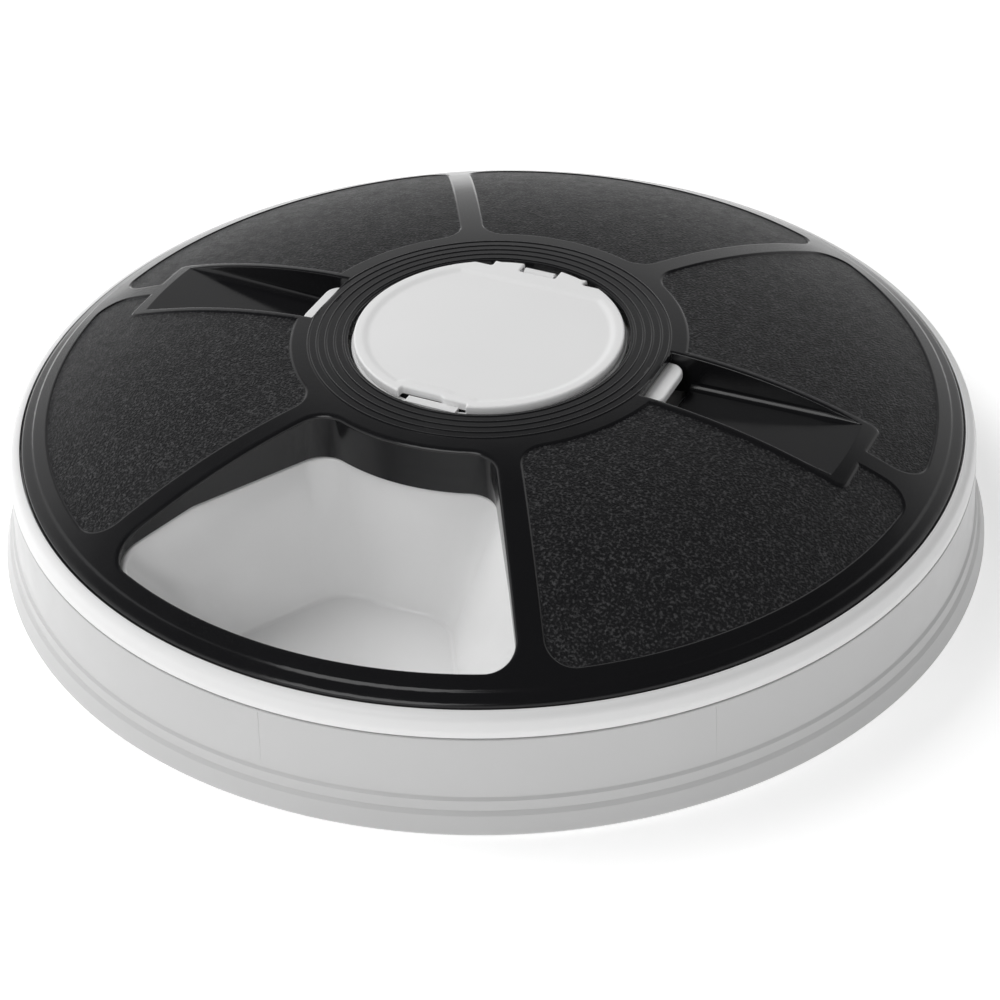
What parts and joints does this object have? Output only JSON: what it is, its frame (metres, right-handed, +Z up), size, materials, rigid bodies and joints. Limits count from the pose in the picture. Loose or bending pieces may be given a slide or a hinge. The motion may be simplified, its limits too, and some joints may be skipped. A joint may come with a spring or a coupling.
{
  "type": "automatic pet feeder",
  "caption": "Low round pet feeder: a turning compartment tray under a domed lid with a wedge opening, driven from a central column with hinged control cover.",
  "frame": {"origin": "middle of the footprint, on the surface the feet stand on", "axes": "+Z up, the lid's opening faces -Y, the squeeze latches are on +X and -X"},
  "size_m": [0.32, 0.32, 0.0674],
  "materials": {
    "white_shell": "moulded white ABS, satin",
    "white_deck": "moulded white ABS, gloss",
    "lid_black": "black ABS, grained panels between polished spokes",
    "tray_white": "glossy white food-safe plastic",
    "cover_white": "moulded white ABS, fine satin",
    "foot_rubber": "soft grey rubber",
    "gear_plastic": "natural acetal",
    "steel": "zinc-plated steel",
    "motor_can": "plated motor can",
    "grey_plastic": "grey ABS inner part",
    "panel_black": "glossy dark control panel",
    "lens_clear": "clear acrylic window",
    "lcd": "grey-green display",
    "button_grey": "soft-touch button",
    "silicone": "translucent silicone",
    "board_green": "fibreglass circuit board",
    "chip_black": "black epoxy",
    "cell_jacket": "labelled cell jacket",
    "contact": "nickel-plated strip",
    "magnet": "nickel-plated magnet",
    "wire": "insulated lead"
  },
  "bodies": {
    "base": {"lower_shell": "white_shell", "rubber_feet": "foot_rubber", "shell_screws": "steel", "upper_deck": "white_deck", "idler_pin": "steel", "idler_clip": "steel", "gear_motor": "motor_can", "gear_chassis": "grey_plastic", "motor_screws": "steel", "index_sensor": "chip_black", "battery_box": "grey_plastic", "battery_cells": "cell_jacket", "battery_contacts": "contact", "hub_bezel": "white_deck", "latch_guides": "grey_plastic", "right_latch_spring": "steel", "left_latch_spring": "steel", "control_panel": "panel_black", "display_lens": "lens_clear", "display_module": "lcd", "keypad": "silicone", "main_board": "board_green", "board_screws": "steel", "controller_chip": "chip_black", "buzzer": "chip_black", "motor_leads": "wire", "battery_leads": "wire", "cover_hinge_pin": "steel"},
    "tray": {"food_tray": "tray_white", "tray_ring_gear": "gear_plastic", "index_magnets": "magnet"},
    "lid": {"lid": "lid_black"},
    "cover": {"control_cover": "cover_white"},
    "right_latch": {"right_latch": "cover_white"},
    "left_latch": {"left_latch": "cover_white"},
    "set_button": {"button_set": "button_grey"},
    "up_button": {"button_up": "button_grey"},
    "down_button": {"button_down": "button_grey"},
    "clock_button": {"button_clock": "button_grey"},
    "battery_door": {"battery_door": "white_shell"},
    "idler": {"idler_gear": "gear_plastic"},
    "motor_output": {"motor_gear": "gear_plastic", "motor_shaft": "steel"}
  },
  "joints": [
    {"name": "tray_spin", "type": "hinge", "parent": "base", "child": "tray", "pos_m": [0, 0, 0.04], "axis": [0, 0, 1], "continuous": true},
    {"name": "idler_spin", "type": "hinge", "parent": "base", "child": "idler", "pos_m": [-0.01613, 0.04201, 0.042], "axis": [0, 0, 1], "continuous": true},
    {"name": "motor_spin", "type": "hinge", "parent": "base", "child": "motor_output", "pos_m": [0, 0.0385, 0.042], "axis": [0, 0, 1], "continuous": true},
    {"name": "lid_lift", "type": "slide", "parent": "base", "child": "lid", "axis": [0, 0, 1], "range_m": [0, 0.12]},
    {"name": "cover_hinge", "type": "hinge", "parent": "base", "child": "cover", "pos_m": [0, 0.0392, 0.0653], "axis": [-1, 0, 0], "range_deg": [0, 105]},
    {"name": "right_latch_push", "type": "slide", "parent": "base", "child": "right_latch", "axis": [-1, 0, 0], "range_m": [0, 0.0036], "stiffness_N_per_m": 250, "springref_m": -0.002, "deforming": ["right_latch_spring"]},
    {"name": "left_latch_push", "type": "slide", "parent": "base", "child": "left_latch", "axis": [1, 0, 0], "range_m": [0, 0.0036], "stiffness_N_per_m": 250, "springref_m": -0.002, "deforming": ["left_latch_spring"]},
    {"name": "set_press", "type": "slide", "parent": "base", "child": "set_button", "axis": [0, 0, -1], "range_m": [0, 0.0008], "stiffness_N_per_m": 200, "springref_m": -0.0004},
    {"name": "up_press", "type": "slide", "parent": "base", "child": "up_button", "axis": [0, 0, -1], "range_m": [0, 0.0008], "stiffness_N_per_m": 200, "springref_m": -0.0004},
    {"name": "down_press", "type": "slide", "parent": "base", "child": "down_button", "axis": [0, 0, -1], "range_m": [0, 0.0008], "stiffness_N_per_m": 200, "springref_m": -0.0004},
    {"name": "clock_press", "type": "slide", "parent": "base", "child": "clock_button", "axis": [0, 0, -1], "range_m": [0, 0.0008], "stiffness_N_per_m": 200, "springref_m": -0.0004},
    {"name": "battery_door_slide", "type": "slide", "parent": "base", "child": "battery_door", "axis": [0, 1, 0], "range_m": [0, 0.0118]}
  ],
  "couplings": [
    {"joint": "idler_spin", "follows": "tray_spin", "ratio": 6},
    {"joint": "motor_spin", "follows": "tray_spin", "ratio": -7.2}
  ]
}
